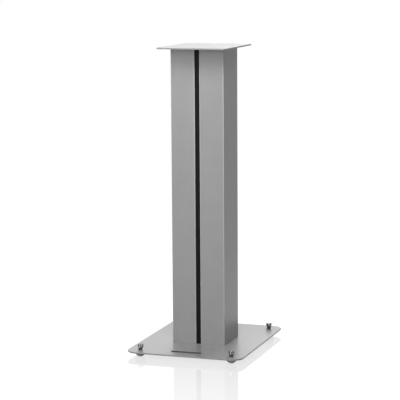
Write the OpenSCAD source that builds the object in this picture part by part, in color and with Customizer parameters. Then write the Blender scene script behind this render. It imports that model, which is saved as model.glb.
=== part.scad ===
// Loudspeaker stand: a twin-tube column between a top plate and a base plate,
// on four levelling feet that are set from above. Front faces -Y, floor at z = 0,
// origin on the floor under the centre of the base plate.

/* [Base plate] */
// Width of the base plate, left to right
base_w = 243; // [200:1:320]
// Depth of the base plate, front to back
base_d = 310; // [270:1:400]
// Thickness of the base plate
base_t = 3; // [2.5:0.5:6]
// Radius of the base plate's corners
base_corner_r = 25; // [5:1:40]
// Height of the base plate's underside above the floor
base_gap = 10; // [9.5:0.1:14]

/* [Top plate] */
// Width of the top plate, left to right
top_w = 144; // [125:1:200]
// Depth of the top plate, front to back
top_d = 174; // [130:1:240]
// Thickness of the top plate
top_t = 3; // [2.5:0.5:6]
// Radius of the top plate's corners
top_corner_r = 3; // [1:0.5:15]

/* [Column] */
// Length of the column tubes
column_h = 600; // [200:10:900]
// Width of each tube, left to right
tube_w = 50.5; // [40:0.5:55]
// Depth of each tube, front to back
tube_d = 92; // [80:1:110]
// Wall of the tubes
tube_wall = 2; // [1.5:0.5:4]
// Outer radius of the tubes' long edges
tube_edge_r = 1; // [0.5:0.5:5]
// How far the column stands in front of the plates' centre
column_forward = 4; // [0:1:10]

/* [Slot and spine] */
// Width of the slot between the tubes, which the spine fills
slot_w = 10; // [9:0.5:16]
// How far the spine is set back from the tubes' front and rear faces
spine_setback = 3; // [1:0.5:6]
// Depth of the spine's solid front bar, which holds the screw port
spine_bar_d = 9; // [8:0.5:14]
// Thickness of the spine's side walls
spine_wall = 1.5; // [1:0.25:2]
// Thickness of the web that closes the cable channel off
spine_web = 3; // [2:0.5:5]
// Depth of the cable channel at the rear
channel_d = 22; // [12:1:30]

/* [End blocks] */
// Height of the blocks welded in the tube ends
block_h = 8; // [8:0.5:14]
// Weld gap round each block
weld_gap = 0.1; // [0.05:0.05:0.2]
// Distance from the tube's centre to each of its screws
screw_pitch_half = 32; // [24:1:34]

/* [Plate screws] */
// Radius of the plate screws' threads
screw_r = 2.5; // [2:0.25:3]
// Radius of the plate screws' countersunk heads
screw_head_r = 4.6; // [4:0.1:5]
// Length of the plate screws with their heads
screw_len = 10; // [8:0.5:10.5]
// Width across the flats of the screws' hexagon sockets
socket_af = 3; // [2:0.5:3.5]
// Depth of the hexagon sockets
socket_depth = 1.8; // [1:0.1:2]
// Gap between a thread and its tapped hole
thread_gap = 0.05; // [0.02:0.01:0.09]
// Gap round a screw's shank and under its head in a plate
screw_gap = 0.3; // [0.1:0.05:0.5]

/* [Levelling screws] */
// Distance from the base plate's edges to each foot's axis
foot_inset = 25.5; // [18:0.5:35]
// Radius of the levelling screws' threads
stud_r = 5; // [4:0.5:5.5]
// Height of the neck between the plate and the crown head
neck_h = 5; // [4:0.5:9]
// Radius of the crown head
crown_r = 5.75; // [5.5:0.25:9]
// Height of the crown head
crown_h = 6; // [5:0.5:9]
// Number of notches round the crown
crown_notches = 8; // [4:1:10]
// Width of each notch
notch_w = 2.2; // [1:0.1:2.4]
// Depth of the notches
notch_depth = 3.5; // [2:0.25:4]
// Radius of the hollow inside the crown
crown_hollow_r = 3.75; // [3:0.25:4]

/* [Bushes] */
// Radius of the bush's body in the base plate
bush_r = 6.5; // [6:0.25:7.5]
// Radius of the bush's flange under the base plate
bush_flange_r = 7.75; // [7:0.25:8]
// Height of the flange
bush_flange_h = 2; // [1:0.25:2.5]
// Radial gap between the bush and the base plate
bush_gap = 0.05; // [0.02:0.01:0.1]

/* [Domed feet] */
// Radius of the domed foot at its rim
dome_r = 10.25; // [9:0.25:12]
// Height of the straight rim at the top of the dome
rim_h = 2.6; // [0.5:0.1:3]
// Gap between the rim and the plate as stored, and the way up that is left
rim_gap = 0.4; // [0.3:0.05:0.8]
// Radial gap between the bush's flange and the dome's recess
recess_gap = 0.5; // [0.3:0.1:0.7]
// Radius of the screw's neck inside the dome
journal_r = 3; // [2:0.25:3.25]
// Radius of the screw's turned end, which the dome snaps over
knuckle_r = 4; // [3.75:0.25:4.5]
// Height of the turned end
knuckle_h = 2; // [1:0.25:2.25]
// Running gap between the screw's end and the dome
run_gap = 0.08; // [0.04:0.01:0.1]
// Radius of the rubber sole
sole_r = 4.75; // [3:0.25:5]
// Width of the dome's flat lip round the sole
sole_lip = 0.5; // [0.3:0.1:1]
// Thickness of the rubber sole
sole_h = 1.6; // [1:0.1:2]
// How far the sole stands out of the dome
sole_out = 0.6; // [0.4:0.1:1]
// Thickness of the dome between the sole and the screw's end
dome_floor = 0.9; // [0.6:0.1:1.2]

/* [Badge plate] */
// Length of the badge plate, left to right
badge_w = 62; // [30:1:100]
// Depth of the badge plate, front to back
badge_d = 6; // [4:0.5:16]
// Thickness of the badge plate
badge_t = 1.2; // [0.6:0.1:3]
// Corner radius of the badge plate
badge_corner_r = 0.8; // [0.4:0.1:1.8]
// Distance from the base plate's front edge to the badge
badge_setback = 26; // [20:1:40]

/* [Hidden] */
// Overrun of cuts past the faces they open
over = 1;
$fn = 64;
// Flat steps of the dome's curve
dome_steps = 12;
// Crown position of each foot as stored, in shares of one notch
foot_turn_shares = [0.42, 0.92, 0.25, 0.7];

// Heights
base_z = base_gap;
column_z = base_z + base_t;
top_z = column_z + column_h;
// The column's centre line
column_y = -column_forward;
tube_x = (slot_w + tube_w) / 2;
// Steepness of a 90 degree countersink: its height equals its radial width
sink_h = screw_head_r - screw_r;

// Places of the plate screws on the column
tube_screws = [for (sx = [-1, 1], sy = [-1, 1])
    [sx * tube_x, column_y + sy * screw_pitch_half]];
spine_front_y = column_y - tube_d / 2 + spine_setback;
spine_back_y = column_y + tube_d / 2 - spine_setback;
port_place = [0, spine_front_y + spine_bar_d / 2];
base_screw_places = concat(tube_screws, [port_place]);

// Feet: name, left or right, front or back
FEET = [["front_left", -1, -1], ["front_right", 1, -1], ["back_left", -1, 1], ["back_right", 1, 1]];
function foot_place(i) = [
    FEET[i][1] * (base_w / 2 - foot_inset),
    FEET[i][2] * (base_d / 2 - foot_inset)
];

// Heights inside a foot, from the floor up
dome_z = sole_out;
recess_z = base_z - bush_flange_h - rim_gap - recess_gap;
rim_top_z = base_z - rim_gap;
knuckle_z = sole_h + dome_floor;
stud_z = recess_z + run_gap;
crown_z = column_z + neck_h;

// Outline of the dome from the sole up to the rim, an ellipse cut off by the sole's seat
dome_foot_r = sole_r + sole_lip;
dome_end_angle = acos(dome_foot_r / dome_r);
dome_bulge_h = (rim_top_z - rim_h - dome_z) / sin(dome_end_angle);

// Flat bar with rounded vertical edges, centred in x and y and standing on z = 0
module rounded_bar(w, d, h, r) {
    linear_extrude(h) {
        square([w - 2 * r, d], center = true);
        square([w, d - 2 * r], center = true);
        for (sx = [-1, 1], sy = [-1, 1])
            translate([sx * (w / 2 - r), sy * (d / 2 - r)]) circle(r);
    }
}

// Hole for a countersunk screw that goes down through a plate of thickness t whose top is z = 0
module sunk_hole(t) {
    head_r = screw_head_r + screw_gap / 2;
    hole_r = screw_r + screw_gap / 2;
    translate([0, 0, -t - over]) cylinder(h = t + 2 * over, r = hole_r);
    translate([0, 0, hole_r - head_r]) cylinder(h = head_r - hole_r, r1 = hole_r, r2 = head_r);
    cylinder(h = over, r = head_r);
}

// Countersunk screw hanging from z = 0, with a hexagon socket
module sunk_screw() {
    socket_r = socket_af / 2 / cos(30);
    difference() {
        union() {
            translate([0, 0, -screw_len]) cylinder(h = screw_len, r = screw_r);
            translate([0, 0, -sink_h]) cylinder(h = sink_h, r1 = screw_r, r2 = screw_head_r);
        }
        translate([0, 0, -socket_depth]) cylinder(h = socket_depth + over, r = socket_r, $fn = 6);
    }
}

module base_plate() {
    color("silver")
    difference() {
        translate([0, 0, base_z]) rounded_bar(base_w, base_d, base_t, base_corner_r);
        for (place = base_screw_places)
            translate([place[0], place[1], base_z]) mirror([0, 0, 1]) sunk_hole(base_t);
        for (i = [0 : len(FEET) - 1])
            translate([foot_place(i)[0], foot_place(i)[1], base_z - over])
                cylinder(h = base_t + 2 * over, r = bush_r + bush_gap);
    }
}

module top_plate() {
    color("gainsboro")
    difference() {
        translate([0, 0, top_z]) rounded_bar(top_w, top_d, top_t, top_corner_r);
        for (place = tube_screws)
            translate([place[0], place[1], top_z + top_t]) sunk_hole(top_t);
    }
}

// One column tube, side -1 on the left and 1 on the right
module column_tube(side) {
    bore_r = max(tube_edge_r - tube_wall, tube_edge_r / 5);
    color("silver")
    translate([side * tube_x, column_y, column_z])
    difference() {
        rounded_bar(tube_w, tube_d, column_h, tube_edge_r);
        translate([0, 0, -over])
            rounded_bar(tube_w - 2 * tube_wall, tube_d - 2 * tube_wall, column_h + 2 * over, bore_r);
    }
}

// Block welded in the end of a tube, flush with the tube's end and tapped for two screws
module end_block(side, end) {
    block_w = tube_w - 2 * tube_wall - 2 * weld_gap;
    block_d = tube_d - 2 * tube_wall - 2 * weld_gap;
    block_r = max(tube_edge_r - tube_wall, tube_edge_r / 5);
    z = end == "top" ? top_z - block_h : column_z;
    color("dimgray")
    translate([side * tube_x, column_y, z])
    difference() {
        rounded_bar(block_w, block_d, block_h, block_r);
        for (sy = [-1, 1])
            translate([0, sy * screw_pitch_half, -over])
                cylinder(h = block_h + 2 * over, r = screw_r + thread_gap);
    }
}

// Extruded profile in the slot: a bar with a screw port in front, a closed chamber,
// and a cable channel that is open to the rear
module slot_spine() {
    depth = spine_back_y - spine_front_y;
    inner_w = slot_w - 2 * spine_wall;
    chamber_d = depth - spine_bar_d - spine_web - channel_d;
    color([0.08, 0.08, 0.08])
    translate([0, spine_front_y, column_z])
    difference() {
        translate([-slot_w / 2, 0, 0]) cube([slot_w, depth, column_h]);
        translate([-inner_w / 2, spine_bar_d, -over]) cube([inner_w, chamber_d, column_h + 2 * over]);
        translate([-inner_w / 2, depth - channel_d, -over])
            cube([inner_w, channel_d + over, column_h + 2 * over]);
        translate([0, spine_bar_d / 2, -over])
            cylinder(h = column_h + 2 * over, r = screw_r + thread_gap);
    }
}

module badge_plate() {
    color([0.12, 0.12, 0.12])
    translate([0, badge_setback - base_d / 2 + badge_d / 2, column_z])
        rounded_bar(badge_w, badge_d, badge_t, badge_corner_r);
}

module base_screws() {
    color("lightgray")
    for (place = base_screw_places)
        translate([place[0], place[1], base_z]) mirror([0, 0, 1]) sunk_screw();
}

module top_screws() {
    color("lightgray")
    for (place = tube_screws)
        translate([place[0], place[1], top_z + top_t]) sunk_screw();
}

// Threaded bush, its body flush with the base plate's top
module bush(i) {
    color("goldenrod")
    translate([foot_place(i)[0], foot_place(i)[1], 0])
    difference() {
        union() {
            translate([0, 0, base_z - bush_flange_h]) cylinder(h = bush_flange_h, r = bush_flange_r);
            translate([0, 0, base_z]) cylinder(h = base_t, r = bush_r);
        }
        translate([0, 0, base_z - bush_flange_h - over])
            cylinder(h = bush_flange_h + base_t + 2 * over, r = stud_r + thread_gap);
    }
}

// Crown head, threaded stud and turned end, made from one bar
module levelling_screw(i) {
    step = 360 / crown_notches;
    color([0.35, 0.35, 0.36])
    translate([foot_place(i)[0], foot_place(i)[1], 0])
    rotate([0, 0, foot_turn_shares[i] * step])
    difference() {
        union() {
            translate([0, 0, crown_z]) cylinder(h = crown_h, r = crown_r);
            translate([0, 0, stud_z]) cylinder(h = crown_z - stud_z, r = stud_r);
            translate([0, 0, knuckle_z]) cylinder(h = stud_z - knuckle_z, r = journal_r);
            translate([0, 0, knuckle_z]) cylinder(h = knuckle_h, r = knuckle_r);
        }
        translate([0, 0, crown_z + crown_h - notch_depth])
            cylinder(h = notch_depth + over, r = crown_hollow_r);
        for (k = [0 : crown_notches - 1])
            rotate([0, 0, (k + 0.5) * step])
            translate([0, -notch_w / 2, crown_z + crown_h - notch_depth])
                cube([crown_r + over, notch_w, notch_depth + over]);
    }
}

// Domed foot that swivels on the screw's turned end and takes the bush's flange in its top
module domed_foot(i) {
    curve = [for (k = [0 : dome_steps])
        let (a = dome_end_angle * (1 - k / dome_steps))
        [dome_r * cos(a), rim_top_z - rim_h - dome_bulge_h * sin(a)]];
    color([0.3, 0.3, 0.31])
    translate([foot_place(i)[0], foot_place(i)[1], 0])
    difference() {
        rotate_extrude()
            polygon(concat([[0, dome_z]], curve, [[dome_r, rim_top_z], [0, rim_top_z]]));
        translate([0, 0, recess_z])
            cylinder(h = base_z - recess_z + over, r = bush_flange_r + recess_gap);
        translate([0, 0, knuckle_z]) cylinder(h = base_z - knuckle_z, r = journal_r + run_gap);
        translate([0, 0, knuckle_z])
            cylinder(h = knuckle_h + run_gap, r = knuckle_r + run_gap);
        translate([0, 0, -over]) cylinder(h = sole_h + over, r = sole_r + run_gap);
    }
}

module sole(i) {
    color([0.05, 0.05, 0.05])
    translate([foot_place(i)[0], foot_place(i)[1], 0]) cylinder(h = sole_h, r = sole_r);
}

base_plate();
top_plate();
column_tube(-1);  // left_tube
column_tube(1);  // right_tube
slot_spine();
badge_plate();
end_block(-1, "bottom");  // left_bottom_block
end_block(-1, "top");  // left_top_block
end_block(1, "bottom");  // right_bottom_block
end_block(1, "top");  // right_top_block
base_screws();
top_screws();
for (i = [0 : len(FEET) - 1]) {
    bush(i);
    levelling_screw(i);
    domed_foot(i);
    sole(i);
}
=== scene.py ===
# %% [markdown]
# # A satin silver speaker stand
#
# The stand is a thin top plate on a column of two rectangular tubes, with a black extruded
# profile in the slot between them, over a thin base plate on four screw-adjusted feet.
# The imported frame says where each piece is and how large. This script gives the pieces their
# broken edges, threads and finishes, and changes no size. Everything is in metres.

import math

import bmesh
import bpy
from mathutils import Matrix, Vector


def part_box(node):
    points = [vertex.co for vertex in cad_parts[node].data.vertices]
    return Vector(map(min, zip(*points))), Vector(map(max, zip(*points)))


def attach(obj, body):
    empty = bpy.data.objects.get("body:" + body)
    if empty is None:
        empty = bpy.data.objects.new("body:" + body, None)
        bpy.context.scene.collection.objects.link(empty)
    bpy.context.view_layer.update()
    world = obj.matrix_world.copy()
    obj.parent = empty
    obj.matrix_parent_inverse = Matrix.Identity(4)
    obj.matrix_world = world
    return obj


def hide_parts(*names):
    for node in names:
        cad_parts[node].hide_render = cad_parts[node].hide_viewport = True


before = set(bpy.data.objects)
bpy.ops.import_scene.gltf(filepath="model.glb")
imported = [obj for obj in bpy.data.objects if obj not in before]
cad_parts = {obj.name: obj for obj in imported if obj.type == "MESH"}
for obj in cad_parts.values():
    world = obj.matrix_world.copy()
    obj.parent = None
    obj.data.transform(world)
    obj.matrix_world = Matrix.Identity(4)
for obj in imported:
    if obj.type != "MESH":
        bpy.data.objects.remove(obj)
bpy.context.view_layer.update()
MM = 0.001
CORNERS = ["front_left", "front_right", "back_left", "back_right"]

# %% [markdown]
# ## Camera
#
# The picture was taken with a long lens from the front right, a little above the top plate.
# The place and the three turns were solved from the edges of the plates and the column, so
# they are kept as plain numbers. A long lens far away keeps the tubes' edges nearly parallel.

# %% Camera
CAMERA_PLACE = Vector((1.0835, -3.1956, 0.8087))
CAMERA_YAW = math.radians(18.923)
CAMERA_PITCH_DOWN = math.radians(8.534)
CAMERA_ROLL = math.radians(0.364)
LENS_MM = 150.62
SENSOR_MM = 36.0

lens = bpy.data.cameras.new("lens")
lens.lens = LENS_MM
lens.sensor_width = SENSOR_MM
camera = bpy.data.objects.new("camera", lens)
turn = Matrix.Rotation(CAMERA_YAW, 4, "Z")
turn = turn @ Matrix.Rotation(math.radians(90) - CAMERA_PITCH_DOWN, 4, "X")
turn = turn @ Matrix.Rotation(-CAMERA_ROLL, 4, "Z")
camera.matrix_world = Matrix.Translation(CAMERA_PLACE) @ turn
bpy.context.scene.collection.objects.link(camera)
bpy.context.scene.camera = camera
bpy.context.scene.view_settings.view_transform = "Standard"
print("camera stands", round(CAMERA_PLACE.length, 2), "m from the stand")

# %% [markdown]
# ## Finishes
#
# Each finish is a Principled shader with a few textures in front of it. They all read Object
# coordinates. A piece's object sits at the origin, so these are places on the stand in
# metres, and a texture's scale is one over the size of its features.

# %% A blank finish and the textures it is built from
NOISE_LOW = 0.3
NOISE_HIGH = 0.7


def start_finish(name, colour, metallic, roughness):
    """A material, its node tree and its shader, with the plain values set on the shader"""
    material = bpy.data.materials.new(name)
    material.use_nodes = True
    tree = material.node_tree
    shader = tree.nodes["Principled BSDF"]
    shader.inputs["Base Color"].default_value = (*colour, 1)
    shader.inputs["Metallic"].default_value = metallic
    shader.inputs["Roughness"].default_value = roughness
    return material, tree, shader


def grain(tree, size, detail, stretch=(1, 1, 1)):
    """Noise with features of one size in metres, drawn out along an axis by stretch"""
    place = tree.nodes.new("ShaderNodeTexCoord")
    mapping = tree.nodes.new("ShaderNodeMapping")
    mapping.inputs["Scale"].default_value = [1 / (size * s) for s in stretch]
    noise = tree.nodes.new("ShaderNodeTexNoise")
    noise.inputs["Scale"].default_value = 1.0
    noise.inputs["Detail"].default_value = detail
    tree.links.new(place.outputs["Object"], mapping.inputs["Vector"])
    tree.links.new(mapping.outputs["Vector"], noise.inputs["Vector"])
    return noise.outputs["Fac"]


def place_axes(tree, kind, turn=0.0):
    """The coordinates of a place, after a turn round the vertical in degrees"""
    place = tree.nodes.new("ShaderNodeTexCoord")
    mapping = tree.nodes.new("ShaderNodeMapping")
    mapping.inputs["Rotation"].default_value = (0, 0, math.radians(turn))
    split = tree.nodes.new("ShaderNodeSeparateXYZ")
    tree.links.new(place.outputs[kind], mapping.inputs["Vector"])
    tree.links.new(mapping.outputs["Vector"], split.inputs["Vector"])
    return split.outputs


def remap(tree, value, start, end, low, high, kind):
    """Goes from low to high while the value goes from start to end"""
    ramp = tree.nodes.new("ShaderNodeMapRange")
    ramp.interpolation_type = kind
    ramp.inputs["From Min"].default_value = start
    ramp.inputs["From Max"].default_value = end
    ramp.inputs["To Min"].default_value = low
    ramp.inputs["To Max"].default_value = high
    tree.links.new(value, ramp.inputs["Value"])
    return ramp.outputs["Result"]


def spread(tree, value, low, high):
    """Stretches a noise value, which stays near its middle, to run from low to high"""
    return remap(tree, value, NOISE_LOW, NOISE_HIGH, low, high, "LINEAR")


def fade(tree, value, start, end, low, high):
    """Goes softly from low to high while the value goes from start to end"""
    return remap(tree, value, start, end, low, high, "SMOOTHSTEP")

# %% [markdown]
# A texture only gives one number for each place. Such numbers are added or blended, and then
# they drive the shader's colour, its roughness and the height of the surface.

# %% Colour, roughness and height that vary over a surface
def feed(tree, value, socket):
    """Links a socket to another one, or sets it to a plain number or colour"""
    if isinstance(value, bpy.types.NodeSocket):
        tree.links.new(value, socket)
    else:
        socket.default_value = value


def calculate(tree, operation, first, second):
    """One step of arithmetic on a linked value and a second value or number"""
    step = tree.nodes.new("ShaderNodeMath")
    step.operation = operation
    feed(tree, first, step.inputs[0])
    feed(tree, second, step.inputs[1])
    return step.outputs["Value"]


def blend(tree, kind, factor, first, second):
    """Goes from first to second as factor goes from 0 to 1; kind is FLOAT or RGBA"""
    mix = tree.nodes.new("ShaderNodeMix")
    mix.data_type = kind
    feed(tree, factor, mix.inputs["Factor"])
    feed(tree, first, mix.inputs["A"])
    feed(tree, second, mix.inputs["B"])
    return mix.outputs["Result"]


def mottle(tree, shader, pattern, colour, dark_share, light_share):
    """Lets the shader's colour vary from a darker to a lighter share of itself"""
    dark = [part * dark_share for part in colour]
    light = [part * light_share for part in colour]
    mixed = blend(tree, "RGBA", pattern, (*dark, 1), (*light, 1))
    tree.links.new(mixed, shader.inputs["Base Color"])


def vary_roughness(tree, shader, pattern, smoothest, roughest):
    tree.links.new(spread(tree, pattern, smoothest, roughest), shader.inputs["Roughness"])


def bump(tree, shader, height, depth):
    """Raises the surface by up to depth metres where height is 1"""
    node = tree.nodes.new("ShaderNodeBump")
    node.inputs["Strength"].default_value = 1.0
    node.inputs["Distance"].default_value = depth
    tree.links.new(height, node.inputs["Height"])
    if shader.inputs["Normal"].is_linked:
        below = shader.inputs["Normal"].links[0].from_socket
        tree.links.new(below, node.inputs["Normal"])
    tree.links.new(node.outputs["Normal"], shader.inputs["Normal"])

# %% [markdown]
# The plates and tubes are painted steel: a fine silver paint, baked on under a thin clear
# lacquer. The flakes scatter more light than they mirror, so the paint is rough and only a
# little metal, and the lacquer adds the soft mirror image of the column that shows on the
# base. The paint's shade drifts over a few centimetres, its flakes sparkle below half a
# millimetre, and its skin is very slightly dimpled. On the tubes it shows the drawing lines
# of the steel below it, and along their upright corners a lighter colour is a painted highlight.

# %% Where a highlight is painted along the tubes' corners
# Width of the painted highlight along each upright tube corner
HIGHLIGHT_BAND_W = 1.3 * MM


def near_edge(tree, place, middle, half):
    """1 at both edges of a tube along one axis, 0 from the painted highlight's width inwards"""
    off = calculate(tree, "SUBTRACT", place, middle)
    away = calculate(tree, "ABSOLUTE", off, 0.0)
    return fade(tree, away, half - HIGHLIGHT_BAND_W, half - HIGHLIGHT_BAND_W / 2, 0.0, 1.0)


def painted_corner_highlights(tree):
    """1 along the four upright corners of both tubes, where a highlight is painted"""
    low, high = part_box("right_tube")
    axes = place_axes(tree, "Object")
    sideways = calculate(tree, "ABSOLUTE", axes["X"], 0.0)
    across = near_edge(tree, sideways, (low.x + high.x) / 2, (high.x - low.x) / 2)
    along = near_edge(tree, axes["Y"], (low.y + high.y) / 2, (high.y - low.y) / 2)
    return calculate(tree, "MULTIPLY", across, along)

# %% Satin silver
SILVER = 0.32
SILVER_DARK_SHARES = (0.93, 0.93, 0.935)
SILVER_LIGHT_SHARES = (1.06, 1.06, 1.055)
SILVER_METALLIC = 0.15
SILVER_ROUGHNESS = 0.6
SMEARED_ROUGHNESS = 0.04
# Colour of the painted highlight along the tubes' corners
CORNER_HIGHLIGHT = 0.75
LACQUER_IOR = 1.3
LACQUER_ROUGHNESS = 0.3
FLAKE = 0.35 * MM
FLAKE_SHARE = 0.35
CLOUD = 28 * MM
CLOUD_LOW = 0.15
CLOUD_HIGH = 0.5
SMEAR = 60 * MM
SMEAR_STRETCH = 3
PEEL = 1.4 * MM
PEEL_DEPTH = 0.004 * MM
DRAWN_LINE = 0.9 * MM
DRAWN_STRETCH = 400
DRAWN_DEPTH = 0.003 * MM


def satin_silver(name, drawn_and_highlit=False):
    """Silver paint under lacquer; for the tubes it adds drawing lines and a painted highlight along
    the corners
    """
    material, tree, shader = start_finish(name, (SILVER,) * 3, SILVER_METALLIC, SILVER_ROUGHNESS)
    shader.inputs["Coat Weight"].default_value = 1.0
    shader.inputs["Coat IOR"].default_value = LACQUER_IOR
    shader.inputs["Coat Roughness"].default_value = LACQUER_ROUGHNESS
    clouds = spread(tree, grain(tree, CLOUD, detail=4.0), CLOUD_LOW, CLOUD_HIGH)
    glints = calculate(tree, "MULTIPLY", grain(tree, FLAKE, detail=1.0), FLAKE_SHARE)
    pattern = calculate(tree, "ADD", glints, clouds)
    dark = [SILVER * share for share in SILVER_DARK_SHARES]
    light = [SILVER * share for share in SILVER_LIGHT_SHARES]
    colour = blend(tree, "RGBA", pattern, (*dark, 1), (*light, 1))
    # Tubes: the lighter colour along the upright corners is a painted highlight
    if drawn_and_highlit:
        colour = blend(tree, "RGBA", painted_corner_highlights(tree), colour, (CORNER_HIGHLIGHT, CORNER_HIGHLIGHT, CORNER_HIGHLIGHT, 1))
    tree.links.new(colour, shader.inputs["Base Color"])
    smears = grain(tree, SMEAR, stretch=(1, 1, SMEAR_STRETCH), detail=5.0)
    vary_roughness(tree, shader, smears, SILVER_ROUGHNESS - SMEARED_ROUGHNESS,
                   SILVER_ROUGHNESS + SMEARED_ROUGHNESS)
    bump(tree, shader, grain(tree, PEEL, detail=2.0), PEEL_DEPTH)
    if drawn_and_highlit:
        lines = grain(tree, DRAWN_LINE, stretch=(1, 1, DRAWN_STRETCH), detail=2.0)
        bump(tree, shader, lines, DRAWN_DEPTH)
    return material


plate_silver = satin_silver("plate_silver")
tube_silver = satin_silver("tube_silver", drawn_and_highlit=True)

# %% [markdown]
# The profile in the slot is extruded aluminium with a matt black anodised skin. Extrusion
# leaves fine lines along it.

# %% Black anodised profile and badge
ANODISED_SPECULAR = 0.1
EXTRUDED_LINE = 0.5 * MM
EXTRUDED_STRETCH = 300
EXTRUDED_DEPTH = 0.01 * MM
EXTRUDED_DARK_SHARE = 0.7
EXTRUDED_LIGHT_SHARE = 1.4
DUST = 25 * MM
DUST_STRETCH = 4
CLEAN_BELOW = 0.06
DUSTY_ABOVE = 0.08


def black_anodised(name, value, roughness):
    material, tree, shader = start_finish(name, (value,) * 3, 0.0, roughness)
    shader.inputs["Specular IOR Level"].default_value = ANODISED_SPECULAR
    lines = grain(tree, EXTRUDED_LINE, stretch=(1, 1, EXTRUDED_STRETCH), detail=2.0)
    mottle(tree, shader, spread(tree, lines, 0, 1), (value,) * 3,
           EXTRUDED_DARK_SHARE, EXTRUDED_LIGHT_SHARE)
    dust = grain(tree, DUST, stretch=(1, 1, DUST_STRETCH), detail=5.0)
    vary_roughness(tree, shader, dust, roughness - CLEAN_BELOW, roughness + DUSTY_ABOVE)
    bump(tree, shader, lines, EXTRUDED_DEPTH)
    return material


profile_black = black_anodised("profile_black", 0.005, roughness=0.5)
badge_black = black_anodised("badge_black", 0.06, roughness=0.4)

# %% [markdown]
# The levelling screws are turned from bar and plated with black nickel, a dark mirror, and
# fine turning marks run round them. Zinc plate is duller and a little blue. The end blocks
# inside the tubes are bare steel.

# %% Bright metals
METAL_DARK_SHARE = 0.86
METAL_LIGHT_SHARE = 1.06
METAL_PATCH = 4 * MM
WEAR_SIZE_SHARE = 0.6
POLISHED_SHARE = 0.7
WORN_SHARE = 1.5
MARK_STRETCH = 40
MARK_DEPTH = 0.004 * MM


def turned_metal(name, colour, roughness, mark, patch=METAL_PATCH):
    material, tree, shader = start_finish(name, colour, 1.0, roughness)
    clouds = spread(tree, grain(tree, patch, detail=4.0), 0, 1)
    mottle(tree, shader, clouds, colour, METAL_DARK_SHARE, METAL_LIGHT_SHARE)
    wear = grain(tree, patch * WEAR_SIZE_SHARE, detail=5.0)
    vary_roughness(tree, shader, wear, roughness * POLISHED_SHARE, roughness * WORN_SHARE)
    marks = grain(tree, mark, stretch=(MARK_STRETCH, MARK_STRETCH, 1), detail=1.0)
    bump(tree, shader, marks, MARK_DEPTH)
    return material


black_nickel = turned_metal("black_nickel", (0.26, 0.26, 0.265), roughness=0.18, mark=0.25 * MM)
zinc_plate = turned_metal("zinc_plate", (0.55, 0.56, 0.58), roughness=0.3, mark=0.3 * MM)
bare_steel = turned_metal("bare_steel", (0.32, 0.31, 0.3), roughness=0.42, mark=0.6 * MM,
                          patch=12 * MM)

# %% [markdown]
# The domed feet are dark satin enamel with a faint grain, and their soles are black rubber.

# %% Dark enamel and rubber
SPOT_DARK_SHARE = 0.85
SPOT_LIGHT_SHARE = 1.2
SPOTS_PER_PATCH = 8
SMOOTHER_BY = 0.05
ROUGHER_BY = 0.07


def grainy_dark(name, value, roughness, size, depth, metallic=0.0):
    material, tree, shader = start_finish(name, (value,) * 3, metallic, roughness)
    spots = spread(tree, grain(tree, size, detail=4.0), 0, 1)
    mottle(tree, shader, spots, (value,) * 3, SPOT_DARK_SHARE, SPOT_LIGHT_SHARE)
    patches = grain(tree, size * SPOTS_PER_PATCH, detail=4.0)
    vary_roughness(tree, shader, patches, roughness - SMOOTHER_BY, roughness + ROUGHER_BY)
    bump(tree, shader, spots, depth)
    return material


foot_enamel = grainy_dark("foot_enamel", 0.2, roughness=0.35, size=0.5 * MM, depth=0.01 * MM,
                          metallic=0.6)
sole_rubber = grainy_dark("sole_rubber", 0.02, roughness=0.8, size=0.4 * MM, depth=0.03 * MM)
print("finishes:", [material.name for material in bpy.data.materials])

# %% [markdown]
# ## Shaping helpers
#
# A flat plate and a square tube both start as one square face. Bevelling the face's corner
# points rounds the outline, extruding gives the thickness, and bevelling the rim edges breaks
# them as paint does. Round pieces are an outline of points spun once round their axis.

# %% Turn a finished bmesh into a piece on its body
SQUARE_ON = 0.9999
CREASE = 40


def soften(bm, crease=CREASE):
    """Flat on faces square to an axis, smooth elsewhere, sharp past a crease in degrees"""
    bmesh.ops.recalc_face_normals(bm, faces=bm.faces)
    for face in bm.faces:
        face.smooth = max(abs(part) for part in face.normal) < SQUARE_ON
    for edge in bm.edges:
        edge.smooth = edge.calc_face_angle(0.0) < math.radians(crease)


def piece_from(bm, name, finish, slot, body, *nodes):
    mesh = bpy.data.meshes.new(name)
    bm.to_mesh(mesh)
    bm.free()
    mesh.materials.append(finish)
    piece = bpy.data.objects.new(name, mesh)
    bpy.context.scene.collection.objects.link(piece)
    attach(piece, body)
    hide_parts(*nodes)
    return piece


def report_on(piece):
    mesh = piece.data
    print(piece.name, "has", len(mesh.polygons), "faces and spans, mm:",
          [round(side / MM, 2) for side in piece.dimensions])

# %% A slab with rounded corners and broken rims
def rounded_face(bm, low, high, z, corner_r, steps):
    """One level face, a rectangle from low to high with rounded corners"""
    middle = (low + high) / 2
    size = high - low
    place = Matrix.Translation((middle.x, middle.y, z)) @ Matrix.Diagonal((size.x, size.y, 1, 1))
    made = bmesh.ops.create_grid(bm, x_segments=1, y_segments=1, size=0.5, matrix=place)
    rounded = bmesh.ops.bevel(bm, geom=made["verts"], offset=corner_r, segments=steps,
                              profile=0.5, affect="VERTICES", material=-1)
    return rounded["verts"][0].link_faces[0]


def slab(low, high, corner_r, rim_r, corner_steps=12, rim_steps=3):
    """A closed bmesh that fills the box from low to high"""
    bm = bmesh.new()
    bottom = rounded_face(bm, low, high, low.z, corner_r, corner_steps)
    raised = bmesh.ops.extrude_face_region(bm, geom=[bottom])["geom"]
    risen = [part for part in raised if isinstance(part, bmesh.types.BMVert)]
    bmesh.ops.translate(bm, vec=(0, 0, high.z - low.z), verts=risen)
    bmesh.ops.recalc_face_normals(bm, faces=bm.faces)
    rims = [edge for face in caps(bm) for edge in face.edges]
    bmesh.ops.bevel(bm, geom=rims, offset=rim_r, segments=rim_steps,
                    profile=0.5, affect="EDGES", material=-1)
    return bm


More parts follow.
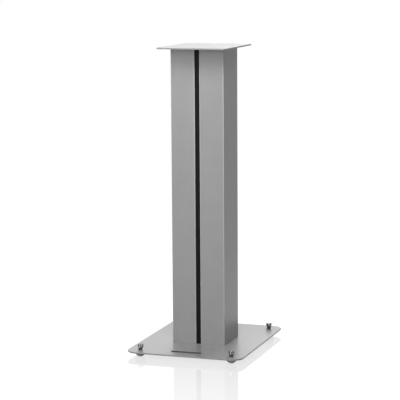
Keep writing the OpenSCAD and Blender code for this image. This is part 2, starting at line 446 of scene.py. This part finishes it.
def caps(bm):
    """The bottom and the top face, which are the two largest level ones"""
    flat = [face for face in bm.faces if abs(face.normal.z) > SQUARE_ON]
    flat.sort(key=lambda face: face.calc_area())
    return sorted(flat[-2:], key=lambda face: face.calc_center_median().z)

# %% Round holes through a slab
def rings_of(bm, centre, profile, steps=48):
    """One circle of edges for each radius and height in the profile"""
    rings = []
    for radius, z in profile:
        place = Matrix.Translation((centre[0], centre[1], z))
        made = bmesh.ops.create_circle(bm, segments=steps, radius=radius, matrix=place)
        rings.append(list(dict.fromkeys(edge for vert in made["verts"] for edge in vert.link_edges)))
    return rings


def pierce(bm, holes):
    """Cuts holes through a slab's two caps; each hole is (centre, profile from bottom to top)"""
    bottom, top = caps(bm)
    bottom_rim = list(bottom.edges)
    top_rim = list(top.edges)
    bmesh.ops.delete(bm, geom=[bottom, top], context="FACES_ONLY")
    for centre, profile in holes:
        rings = rings_of(bm, centre, profile)
        for lower, upper in zip(rings, rings[1:]):
            bmesh.ops.bridge_loops(bm, edges=lower + upper)
        bottom_rim += rings[0]
        top_rim += rings[-1]
    bmesh.ops.triangle_fill(bm, use_beauty=True, edges=bottom_rim)
    bmesh.ops.triangle_fill(bm, use_beauty=True, edges=top_rim)

# %% A turned piece
MERGE_DIST = 0.001 * MM


def turned(bm, centre, outline, steps=64):
    """Spins an outline of (radius, height) points round a vertical axis and closes its poles"""
    verts = [bm.verts.new((centre[0] + radius, centre[1], z)) for radius, z in outline]
    edges = [bm.edges.new(pair) for pair in zip(verts, verts[1:])]
    bmesh.ops.spin(bm, geom=verts + edges, cent=(centre[0], centre[1], 0), axis=(0, 0, 1),
                   angle=math.tau, steps=steps, use_merge=True, use_duplicate=False)
    bmesh.ops.remove_doubles(bm, verts=bm.verts, dist=MERGE_DIST)
    return bm

# %% [markdown]
# ## Plates
#
# Both plates are 3 mm steel, laser cut. The base plate has large rounded corners, a hole for
# each foot's threaded bush and countersinks underneath for the column's screws. The top
# plate has nearly square corners and its countersinks on top. Boolean cutters would do it,
# but bridged rings of edges give cleaner walls, and one fill closes each face round them.

# %% Where the plate screws go
SCREW_PITCH_HALF = 32 * MM
SPINE_BAR_D = 9 * MM
SCREW_R = 2.5 * MM
SCREW_HEAD_R = 4.6 * MM
SCREW_LEN = 10 * MM
SCREW_GAP = 0.3 * MM


def middle_of(node):
    low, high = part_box(node)
    return (low + high) / 2


column_screws = [(middle_of(tube).x, middle_of(tube).y + sign * SCREW_PITCH_HALF)
                 for tube in ("left_tube", "right_tube") for sign in (-1, 1)]
spine_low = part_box("slot_spine")[0]
spine_screw = (0.0, spine_low.y + SPINE_BAR_D / 2)
print("plate screws at, mm:", [(round(x / MM, 1), round(y / MM, 1)) for x, y in column_screws])

# %% Base plate and top plate
EDGE_BREAK = 0.35 * MM
HOLE_BREAK = 0.15 * MM
BASE_CORNER_R = 25 * MM
TOP_CORNER_R = 3 * MM
BUSH_HOLE_R = 6.55 * MM


def countersink(mouth_z, far_z):
    """Profile of a screw hole from its wide mouth to the plate's far face"""
    wide = SCREW_HEAD_R + SCREW_GAP / 2
    narrow = SCREW_R + SCREW_GAP / 2
    inward = math.copysign(1, far_z - mouth_z)
    return [(wide + HOLE_BREAK, mouth_z),
            (wide, mouth_z + inward * HOLE_BREAK),
            (narrow, mouth_z + inward * (wide - narrow + HOLE_BREAK)),
            (narrow, far_z - inward * HOLE_BREAK),
            (narrow + HOLE_BREAK, far_z)]


def straight_hole(radius, low_z, high_z):
    return [(radius + HOLE_BREAK, low_z), (radius, low_z + HOLE_BREAK),
            (radius, high_z - HOLE_BREAK), (radius + HOLE_BREAK, high_z)]


low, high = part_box("base_plate")
bm = slab(low, high, BASE_CORNER_R, EDGE_BREAK, corner_steps=24)
holes = [(place, countersink(low.z, high.z)) for place in column_screws + [spine_screw]]
for corner in CORNERS:
    holes.append((middle_of("bush_" + corner), straight_hole(BUSH_HOLE_R, low.z, high.z)))
pierce(bm, holes)
soften(bm)
base_plate = piece_from(bm, "steel_base_plate", plate_silver, "satin_silver", "stand", "base_plate")
report_on(base_plate)

low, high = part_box("top_plate")
bm = slab(low, high, TOP_CORNER_R, EDGE_BREAK)
pierce(bm, [(place, countersink(high.z, low.z)[::-1]) for place in column_screws])
soften(bm)
top_plate = piece_from(bm, "steel_top_plate", plate_silver, "satin_silver", "stand", "top_plate")
report_on(top_plate)

# %% [markdown]
# ## Column
#
# The tubes have small outer edges, and the light catches on them as thin bright lines along
# the slot. Each tube is a slab whose end faces are opened and bridged to a smaller outline,
# and bridging the two smaller outlines makes the bore.

# %% Two tubes
TUBE_EDGE_R = 1.0 * MM
BORE_EDGE_R = 0.2 * MM
TUBE_WALL = 2 * MM
SAW_BREAK = 0.2 * MM
EDGE_STEPS = 6


def tube(node):
    low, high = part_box(node)
    wall = Vector((TUBE_WALL, TUBE_WALL, 0))
    bm = slab(low, high, TUBE_EDGE_R, SAW_BREAK, corner_steps=EDGE_STEPS, rim_steps=2)
    bores = []
    for cap in caps(bm):
        z = cap.calc_center_median().z
        outer = list(cap.edges)
        hole = rounded_face(bm, low + wall, high - wall, z, BORE_EDGE_R, EDGE_STEPS)
        inner = list(hole.edges)
        bmesh.ops.delete(bm, geom=[cap, hole], context="FACES_ONLY")
        bmesh.ops.bridge_loops(bm, edges=outer + inner)
        bores.append(inner)
    bmesh.ops.bridge_loops(bm, edges=bores[0] + bores[1])
    soften(bm)
    return piece_from(bm, "drawn_" + node, tube_silver, "satin_silver", "stand", node)


for side in ("left_tube", "right_tube"):
    report_on(tube(side))

# %% [markdown]
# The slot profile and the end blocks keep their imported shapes, which are already exact. They
# only need their finishes.

# %% Finish the carried-over pieces
def dress(node, finish):
    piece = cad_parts[node]
    piece.data.materials.clear()
    piece.data.materials.append(finish)
    print(node, "keeps its shape and is finished in", finish.name)


dress("slot_spine", profile_black)
for side in ("left", "right"):
    for end in ("bottom", "top"):
        dress(f"{side}_{end}_block", bare_steel)

# %% [markdown]
# ## Badge
#
# A slim black bar lies near the front edge of the base. It is blank here. It is a slab like
# the plates, with its corners and its rim rounded enough to catch the light.

# %% Blank badge
BADGE_CORNER_R = 0.8 * MM
BADGE_CORNER_STEPS = 6
BADGE_RIM_R = 0.25 * MM
low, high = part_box("badge_plate")
bm = slab(low, high, BADGE_CORNER_R, BADGE_RIM_R, corner_steps=BADGE_CORNER_STEPS)
soften(bm)
report_on(piece_from(bm, "blank_badge", badge_black, "badge_black", "stand", "badge_plate"))

# %% [markdown]
# ## Plate screws
#
# M5 countersunk screws with a hexagon socket. The socket's outline is a circle of points
# pushed out to a hexagon, so that one fill joins it to the round head.

# %% Countersunk screws
SOCKET_FLATS = 3 * MM
SOCKET_DEPTH = 1.8 * MM
SOCKET_STEPS = 24
SIXTH_TURN = math.radians(60)
HEAD_BREAK = 0.1 * MM
HEAD_LAND = 0.2 * MM
TIP_BREAK = 0.6 * MM


def hexagonal(centre, edges):
    """Moves the points of a circle on to the hexagon round it"""
    for vert in {vert for edge in edges for vert in edge.verts}:
        across = Vector((vert.co.x - centre[0], vert.co.y - centre[1], 0))
        angle = math.atan2(across.y, across.x) % SIXTH_TURN - SIXTH_TURN / 2
        reach = SOCKET_FLATS / 2 / math.cos(angle)
        flat = across.normalized() * reach
        vert.co.x = centre[0] + flat.x
        vert.co.y = centre[1] + flat.y


def add_screw(bm, centre, head_z, down):
    """A screw whose head's face lies at head_z; down is -1, or 1 for one driven upwards"""
    cone = SCREW_HEAD_R - SCREW_R
    socket_profile = [(SOCKET_FLATS / 2, 0), (SOCKET_FLATS / 2, SOCKET_DEPTH)]
    body_profile = [(SCREW_HEAD_R - HEAD_BREAK, 0), (SCREW_HEAD_R, HEAD_BREAK),
                    (SCREW_HEAD_R, HEAD_LAND), (SCREW_R + HEAD_LAND, cone),
                    (SCREW_R, cone + HEAD_LAND), (SCREW_R, SCREW_LEN - TIP_BREAK),
                    (SCREW_R - TIP_BREAK, SCREW_LEN)]
    socket, body = [
        rings_of(bm, centre, [(radius, head_z + down * depth) for radius, depth in profile],
                 steps=SOCKET_STEPS)
        for profile in (socket_profile, body_profile)]
    for edges in socket:
        hexagonal(centre, edges)
    bmesh.ops.bridge_loops(bm, edges=socket[0] + socket[1])
    for near, far in zip(body, body[1:]):
        bmesh.ops.bridge_loops(bm, edges=near + far)
    bmesh.ops.triangle_fill(bm, use_beauty=True, edges=socket[0] + body[0])
    bmesh.ops.contextual_create(bm, geom=socket[1])
    bmesh.ops.contextual_create(bm, geom=body[-1])


def screws(name, places, head_z, down, node):
    bm = bmesh.new()
    for place in places:
        add_screw(bm, place, head_z, down)
    soften(bm)
    report_on(piece_from(bm, name, zinc_plate, "zinc_screw", "stand", node))


lower_heads_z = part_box("base_screws")[0].z
upper_heads_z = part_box("top_screws")[1].z
screws("plate_screws_below", column_screws + [spine_screw], lower_heads_z, 1, "base_screws")
screws("plate_screws_above", column_screws, upper_heads_z, -1, "top_screws")

# %% [markdown]
# ## Feet
#
# Each foot is a threaded bush pressed into the base plate, a levelling screw through it with
# a crown-shaped head on top, and a domed foot that swivels on the screw's lower end over a
# rubber sole. The head can be turned by hand or with a bar laid across its notches.

# %% Threaded bushes
STUD_R = 5 * MM
BORE_R = 5.05 * MM
BUSH_R = 6.5 * MM
FLANGE_H = 2 * MM
BUSH_BREAK = 0.3 * MM


def bush(corner):
    node = "bush_" + corner
    low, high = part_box(node)
    flange_r = (high.x - low.x) / 2
    seat = low.z + FLANGE_H
    outline = [(BORE_R, low.z + BUSH_BREAK), (BORE_R + BUSH_BREAK, low.z),
               (flange_r - BUSH_BREAK, low.z), (flange_r, low.z + BUSH_BREAK),
               (flange_r, seat - BUSH_BREAK / 2), (flange_r - BUSH_BREAK / 2, seat),
               (BUSH_R, seat), (BUSH_R, high.z - BUSH_BREAK / 2), (BUSH_R - BUSH_BREAK / 2, high.z),
               (BORE_R + BUSH_BREAK, high.z), (BORE_R, high.z - BUSH_BREAK),
               (BORE_R, low.z + BUSH_BREAK)]
    bm = turned(bmesh.new(), middle_of(node), outline)
    soften(bm)
    return piece_from(bm, "threaded_" + node, zinc_plate, "zinc_bush", "stand", node)


for corner in CORNERS:
    report_on(bush(corner))

# %% [markdown]
# The thread is a ribbon one pitch tall, spun round while it climbs. Its turns share their
# edges once doubles are merged. Cutting it level at both ends leaves two open outlines, and
# fills join those to the crown above and to the turned end below.

# %% A thread that ends level
PITCH = 1.5 * MM
THREAD_DEPTH = 0.92 * MM
THREAD_STEPS = 48
TURNS_BELOW = 2
SPARE_TURNS = 3


def thread(bm, centre, low_z, high_z):
    """A helical thread, cut level at both heights and left open there"""
    root = STUD_R - THREAD_DEPTH
    start = low_z - TURNS_BELOW * PITCH
    turns = math.ceil((high_z - low_z) / PITCH) + SPARE_TURNS
    ribbon = [(root, 0), (root, PITCH / 8), (STUD_R, PITCH * 7 / 16), (STUD_R, PITCH * 9 / 16),
              (root, PITCH * 7 / 8), (root, PITCH)]
    verts = [bm.verts.new((centre[0] + r, centre[1], start + z)) for r, z in ribbon]
    edges = [bm.edges.new(pair) for pair in zip(verts, verts[1:])]
    bmesh.ops.spin(bm, geom=verts + edges, cent=(centre[0], centre[1], 0), axis=(0, 0, 1),
                   dvec=(0, 0, PITCH / THREAD_STEPS), angle=math.tau * turns,
                   steps=THREAD_STEPS * turns, use_merge=False, use_duplicate=False)
    bmesh.ops.remove_doubles(bm, verts=bm.verts, dist=MERGE_DIST)
    for z, outward in ((low_z, -1), (high_z, 1)):
        bmesh.ops.bisect_plane(bm, geom=bm.verts[:] + bm.edges[:] + bm.faces[:],
                               plane_co=(0, 0, z), plane_no=(0, 0, outward), clear_outer=True)

# %% [markdown]
# A crown head is a turned disc with eight prongs on its rim. Eight boolean cuts could make
# the notches between them. Here the disc's own points are moved on to the notches' sides and
# the faces between two notches are raised, which leaves no slivers.

# %% Crown heads
CROWN_R = 5.75 * MM
CROWN_H = 6 * MM
CROWN_HOLLOW_R = 3.75 * MM
CROWN_BREAK = 0.3 * MM
NOTCHES = 8
NOTCH_W = 2.2 * MM
NOTCH_DEPTH = 3.5 * MM
NOTCH_TURN = math.tau / NOTCHES
NOTCH_POINTS = 8
SAME_LEVEL = 0.01 * MM
SHARP_RADIANS = 1.0


def polar(point, centre):
    """How far a point is from a vertical axis, and in which direction"""
    x = point.x - centre[0]
    y = point.y - centre[1]
    return math.hypot(x, y), math.atan2(y, x)


def half_prong(radius):
    """Half the angle that a prong takes up at a radius"""
    return NOTCH_TURN / 2 - math.asin(NOTCH_W / 2 / radius)


def line_up_with_notches(bm, centre, floor_z):
    """Moves the points of the disc's top on to the sides and middles of the notches"""
    for vert in bm.verts:
        radius, angle = polar(vert.co, centre)
        if abs(vert.co.z - floor_z) > SAME_LEVEL or radius < CROWN_HOLLOW_R / 2:
            continue
        sector = round(angle / NOTCH_TURN) * NOTCH_TURN
        point = round((angle - sector) / (NOTCH_TURN / NOTCH_POINTS))
        side = half_prong(radius)
        offsets = [0, side / 2, side, (side + NOTCH_TURN / 2) / 2, NOTCH_TURN / 2]
        placed = sector + math.copysign(offsets[abs(point)], point)
        vert.co.x = centre[0] + radius * math.cos(placed)
        vert.co.y = centre[1] + radius * math.sin(placed)


def prong_faces(bm, centre, floor_z):
    """The faces on the disc's rim that lie between two notches"""
    prongs = []
    for face in bm.faces:
        middle = face.calc_center_median()
        radius, angle = polar(middle, centre)
        if abs(middle.z - floor_z) > SAME_LEVEL or radius < CROWN_HOLLOW_R:
            continue
        off = (angle + NOTCH_TURN / 2) % NOTCH_TURN - NOTCH_TURN / 2
        if abs(off) < half_prong(radius):
            prongs.append(face)
    return prongs


def crown(bm, centre, low_z):
    """The head, a disc with prongs, open on its underside"""
    floor_z = low_z + CROWN_H - NOTCH_DEPTH
    outline = [(CROWN_R - CROWN_BREAK, low_z), (CROWN_R, low_z + CROWN_BREAK), (CROWN_R, floor_z),
               (CROWN_HOLLOW_R, floor_z), (0, floor_z)]
    turned(bm, centre, outline, steps=NOTCH_POINTS * NOTCHES)
    line_up_with_notches(bm, centre, floor_z)
    prongs = prong_faces(bm, centre, floor_z)
    raised = bmesh.ops.extrude_face_region(bm, geom=prongs)["geom"]
    tops = [part for part in raised if isinstance(part, bmesh.types.BMFace)]
    risen = [part for part in raised if isinstance(part, bmesh.types.BMVert)]
    bmesh.ops.translate(bm, vec=(0, 0, NOTCH_DEPTH), verts=risen)
    top_edges = dict.fromkeys(edge for face in tops for edge in face.edges)
    rims = [edge for edge in top_edges if edge.calc_face_angle(0.0) > SHARP_RADIANS]
    bmesh.ops.bevel(bm, geom=rims, offset=CROWN_BREAK, segments=2, profile=0.5,
                    affect="EDGES", material=-1)

# %% Levelling screws
CROWN_TURN_SHARES = dict(zip(CORNERS, (0.42, 0.92, 0.25, 0.7)))
JOURNAL_R = 3 * MM
KNUCKLE_R = 4 * MM
KNUCKLE_H = 2 * MM
KNUCKLE_BREAK = 0.2 * MM
DOME_RECESS_Z = 7.1 * MM
RUN_GAP = 0.08 * MM


def join(bm, part):
    """Moves the shape of a second bmesh into the first"""
    shape = bpy.data.meshes.new("part")
    part.to_mesh(shape)
    part.free()
    bm.from_mesh(shape)
    bpy.data.meshes.remove(shape)


def close_level(bm, z):
    """Fills between the two open outlines at one height"""
    outlines = [edge for edge in bm.edges if edge.is_boundary
                and all(abs(vert.co.z - z) < SAME_LEVEL for vert in edge.verts)]
    bmesh.ops.triangle_fill(bm, use_beauty=True, edges=outlines)


def levelling_screw(corner):
    node = "levelling_screw_" + corner
    low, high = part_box(node)
    centre = middle_of(node)
    crown_z = high.z - CROWN_H
    stud_z = DOME_RECESS_Z + RUN_GAP
    knuckle_z = low.z + KNUCKLE_H
    bm = bmesh.new()
    thread(bm, centre, stud_z, crown_z)
    head = bmesh.new()
    crown(head, centre, crown_z)
    facing = Matrix.Rotation(CROWN_TURN_SHARES[corner] * NOTCH_TURN, 3, "Z")
    bmesh.ops.rotate(head, cent=centre, verts=head.verts, matrix=facing)
    tail = turned(bmesh.new(), centre, [
        (JOURNAL_R, stud_z), (JOURNAL_R, knuckle_z), (KNUCKLE_R - KNUCKLE_BREAK, knuckle_z),
        (KNUCKLE_R, knuckle_z - KNUCKLE_BREAK), (KNUCKLE_R, low.z + KNUCKLE_BREAK),
        (KNUCKLE_R - KNUCKLE_BREAK, low.z), (0, low.z)])
    join(bm, head)
    join(bm, tail)
    close_level(bm, crown_z)
    close_level(bm, stud_z)
    soften(bm)
    return piece_from(bm, "threaded_" + node, black_nickel, "black_nickel", corner + "_screw", node)


for corner in CORNERS:
    report_on(levelling_screw(corner))

# %% [markdown]
# Each domed foot is turned from bar and enamelled. The recess in its top takes in the bush's
# flange, and the bore below it holds the turned end of the screw, so that the foot swivels.
# One outline, up the outside and down the bore, makes all of that in one spin. The curve
# outside is part of an ellipse, worked out by a formula. A rubber sole sits underneath.

# %% Domed feet and soles
DOME_STEPS = 16
DOME_CREASE = 30
DOME_BREAK = 0.25 * MM
RIM_H = 2.6 * MM
RECESS_R = 8.25 * MM
SOLE_LIP = 0.5 * MM
SOLE_H = 1.6 * MM
SOLE_BREAK = 0.3 * MM


def domed_foot(corner):
    node = "domed_foot_" + corner
    low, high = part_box(node)
    sole_low, sole_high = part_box("sole_" + corner)
    screw_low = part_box("levelling_screw_" + corner)[0]
    dome_r = (high.x - low.x) / 2
    sole_r = (sole_high.x - sole_low.x) / 2
    end_angle = math.acos((sole_r + SOLE_LIP) / dome_r)
    waist_z = high.z - RIM_H
    knuckle_top_z = screw_low.z + KNUCKLE_H + RUN_GAP
    bulge = (waist_z - low.z) / math.sin(end_angle)
    curve = []
    for k in range(DOME_STEPS + 1):
        angle = end_angle * (1 - k / DOME_STEPS)
        curve.append((dome_r * math.cos(angle), waist_z - bulge * math.sin(angle)))
    outline = [(0, SOLE_H), (sole_r + RUN_GAP, SOLE_H), (sole_r + RUN_GAP, low.z)] + curve
    outline += [(dome_r, high.z - DOME_BREAK), (dome_r - DOME_BREAK, high.z),
                (RECESS_R + DOME_BREAK, high.z), (RECESS_R, high.z - DOME_BREAK),
                (RECESS_R, DOME_RECESS_Z), (JOURNAL_R + RUN_GAP, DOME_RECESS_Z),
                (JOURNAL_R + RUN_GAP, knuckle_top_z), (KNUCKLE_R + RUN_GAP, knuckle_top_z),
                (KNUCKLE_R + RUN_GAP, screw_low.z), (0, screw_low.z)]
    bm = turned(bmesh.new(), middle_of(node), outline)
    soften(bm, crease=DOME_CREASE)
    return piece_from(bm, "turned_" + node, foot_enamel, "dark_foot", corner + "_foot", node)


def sole(corner):
    node = "sole_" + corner
    low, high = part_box(node)
    radius = (high.x - low.x) / 2
    outline = [(0, high.z), (radius - SOLE_BREAK, high.z), (radius, high.z - SOLE_BREAK),
               (radius, low.z + SOLE_BREAK), (radius - SOLE_BREAK, low.z), (0, low.z)]
    bm = turned(bmesh.new(), middle_of(node), outline)
    soften(bm)
    return piece_from(bm, "rubber_" + node, sole_rubber, "black_rubber", corner + "_foot", node)


for corner in CORNERS:
    report_on(domed_foot(corner))
    report_on(sole(corner))

# %% [markdown]
# ## Floor and light
#
# The stand is photographed on a white sweep with a faint mirror gloss. Camera, glossy and
# transmission rays see the sweep as white, and all other rays see a plain dim floor, so
# that the white puts no extra light on the stand. A share of the white is shaded, so that
# the stand keeps a soft shadow, and the gloss fades towards the camera. Past the picture's
# right edge the floor is a little less bright, because the column's side face mirrors it.

# %% Shader steps for the floor and the room
def background_rays(tree):
    """1 for the rays that show the background itself: camera, glossy and transmission rays"""
    rays = tree.nodes.new("ShaderNodeLightPath").outputs
    seen = calculate(tree, "MAXIMUM", rays["Is Camera Ray"], rays["Is Glossy Ray"])
    return calculate(tree, "MAXIMUM", seen, rays["Is Transmission Ray"])


def matt(tree, grey):
    paint = tree.nodes.new("ShaderNodeBsdfDiffuse")
    paint.inputs["Color"].default_value = (grey, grey, grey, 1)
    return paint.outputs["BSDF"]


def mix_shaders(tree, share, first, second):
    mix = tree.nodes.new("ShaderNodeMixShader")
    feed(tree, share, mix.inputs["Fac"])
    tree.links.new(first, mix.inputs[1])
    tree.links.new(second, mix.inputs[2])
    return mix.outputs["Shader"]

# %% Floor
FLOOR_HALF = 14.0
bm = bmesh.new()
bmesh.ops.create_grid(bm, x_segments=1, y_segments=1, size=FLOOR_HALF)
floor_mesh = bpy.data.meshes.new("floor")
bm.to_mesh(floor_mesh)
bm.free()
floor = bpy.data.objects.new("floor", floor_mesh)
bpy.context.scene.collection.objects.link(floor)
print("floor is", 2 * FLOOR_HALF, "m wide")

# %% White sweep with a faint gloss
WHITE = 1.14
PAST_WHITE = 0.8
PAST_TURN = -12
PAST_FROM_X = 0.4
PAST_TO_X = 0.7
SHADED_SHARE = 0.12
PAPER_GREY = 0.8
DIM_GREY = 0.25
GLOSS_NEAR = 0.2
GLOSS_FAR = 0.3
GLOSS_NEAR_Y = -0.45
GLOSS_FAR_Y = -0.12
GLOSS_ROUGHNESS = 0.02

white_floor = bpy.data.materials.new("white_floor")
white_floor.use_nodes = True
tree = white_floor.node_tree
tree.nodes.clear()
out = tree.nodes.new("ShaderNodeOutputMaterial")
past_picture = place_axes(tree, "Object", turn=PAST_TURN)["X"]
plain = tree.nodes.new("ShaderNodeEmission")
brightness = fade(tree, past_picture, PAST_FROM_X, PAST_TO_X, WHITE, PAST_WHITE)
tree.links.new(brightness, plain.inputs["Strength"])
mirror = tree.nodes.new("ShaderNodeBsdfGlossy")
mirror.inputs["Color"].default_value = (1, 1, 1, 1)
mirror.inputs["Roughness"].default_value = GLOSS_ROUGHNESS
depth = place_axes(tree, "Object")["Y"]
gloss = fade(tree, depth, GLOSS_NEAR_Y, GLOSS_FAR_Y, GLOSS_NEAR, GLOSS_FAR)
shaded = mix_shaders(tree, SHADED_SHARE, plain.outputs["Emission"], matt(tree, PAPER_GREY))
shown = mix_shaders(tree, gloss, shaded, mirror.outputs["BSDF"])
surface = mix_shaders(tree, background_rays(tree), matt(tree, DIM_GREY), shown)
tree.links.new(surface, out.inputs["Surface"])
floor_mesh.materials.append(white_floor)
print("floor wears", white_floor.name)

# %% [markdown]
# The room behind the stand is white where the camera looks. To the right of that it is
# greyer, which keeps the column's side face darker than its front. In front of the stand it
# goes from pale at the left to grey at the right.

# %% Room
BEHIND_WHITE = 1.0
BEHIND_GREY = 0.6
BEHIND_FROM = -0.2
BEHIND_TO = 0.3
AHEAD_PALE = 0.7
AHEAD_GREY = 0.4
AHEAD_FROM = -1.0
AHEAD_TO = 1.0
TURN_BACK_FROM = -0.2
TURN_BACK_TO = 0.6
OTHER_RAYS = 0.05

room = bpy.data.worlds.new("studio")
bpy.context.scene.world = room
room.use_nodes = True
tree = room.node_tree
backdrop = tree.nodes["Background"]
backdrop.inputs["Color"].default_value = (1, 1, 1, 1)
direction = place_axes(tree, "Generated")
behind = fade(tree, direction["X"], BEHIND_FROM, BEHIND_TO, BEHIND_WHITE, BEHIND_GREY)
ahead = fade(tree, direction["X"], AHEAD_FROM, AHEAD_TO, AHEAD_PALE, AHEAD_GREY)
backwards = fade(tree, direction["Y"], TURN_BACK_FROM, TURN_BACK_TO, 0, 1)
levels = blend(tree, "FLOAT", backwards, ahead, behind)
level = blend(tree, "FLOAT", background_rays(tree), OTHER_RAYS, levels)
tree.links.new(level, backdrop.inputs["Strength"])
print("room is", BEHIND_WHITE, "to", AHEAD_GREY, "where it shows and", OTHER_RAYS, "as a light")

# %% [markdown]
# Five soft boxes light it: one overhead and in front for the plates and the crowns, a large
# one at the camera's left for the column's front, a narrow strip nearer to the column, and
# two behind, one high and one low, whose sheen lies on both plates.

# %% Soft boxes
def soft_box(name, place, aim, size, watts):
    light = bpy.data.lights.new(name, "AREA")
    light.shape = "RECTANGLE"
    light.size, light.size_y = size
    light.energy = watts
    box = bpy.data.objects.new(name, light)
    bpy.context.scene.collection.objects.link(box)
    box.location = place
    box.rotation_euler = (Vector(aim) - Vector(place)).to_track_quat("-Z", "Y").to_euler()
    box.visible_camera = False
    print(name, "gives", watts, "W from", place)


soft_box("overhead_box", place=(0.3, -0.9, 1.6), aim=(0, 0, 0.5), size=(0.6, 0.6), watts=15.0)
soft_box("front_box", place=(-1.2, -3.0, 1.4), aim=(0, 0, 0.3), size=(1.2, 1.6), watts=36.0)
soft_box("strip_box", place=(-0.38, -1.2, 0.75), aim=(0.02, -0.05, 0.35), size=(0.1, 1.3),
         watts=1.9)
soft_box("back_box", place=(-1.0, 2.4, 1.0), aim=(0, 0, 0.3), size=(1.4, 1.4), watts=3.2)
soft_box("back_high_box", place=(0.0, 2.6, 1.6), aim=(0, 0, 0.3), size=(1.2, 0.8), watts=13.5)
